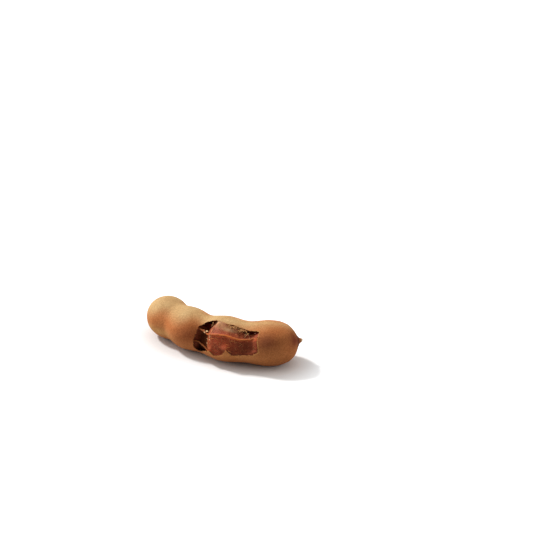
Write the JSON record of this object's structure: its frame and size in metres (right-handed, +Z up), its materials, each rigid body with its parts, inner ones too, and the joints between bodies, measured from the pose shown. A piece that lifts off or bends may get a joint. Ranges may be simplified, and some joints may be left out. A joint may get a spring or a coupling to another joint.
{
  "type": "tamarind pod",
  "caption": "Ripe curved tamarind pod lying on its side, its brittle lobed shell broken open to show sticky pulp with fibre strands.",
  "frame": {"origin": "centre of the bounding box in plan, at the surface that the pod lies on", "axes": "+X from the stalk end to the beak, +Y away from the broken window, +Z up"},
  "size_m": [0.0983, 0.0645, 0.0277],
  "materials": {
    "shell": "matte, suede-like, scurfy light brown",
    "pulp": "sticky satin red-brown",
    "fibre": "matte orange-brown"
  },
  "bodies": {
    "root": {"shell": "shell", "pulp": "pulp", "stalk_and_strands": "fibre"}
  },
  "joints": []
}
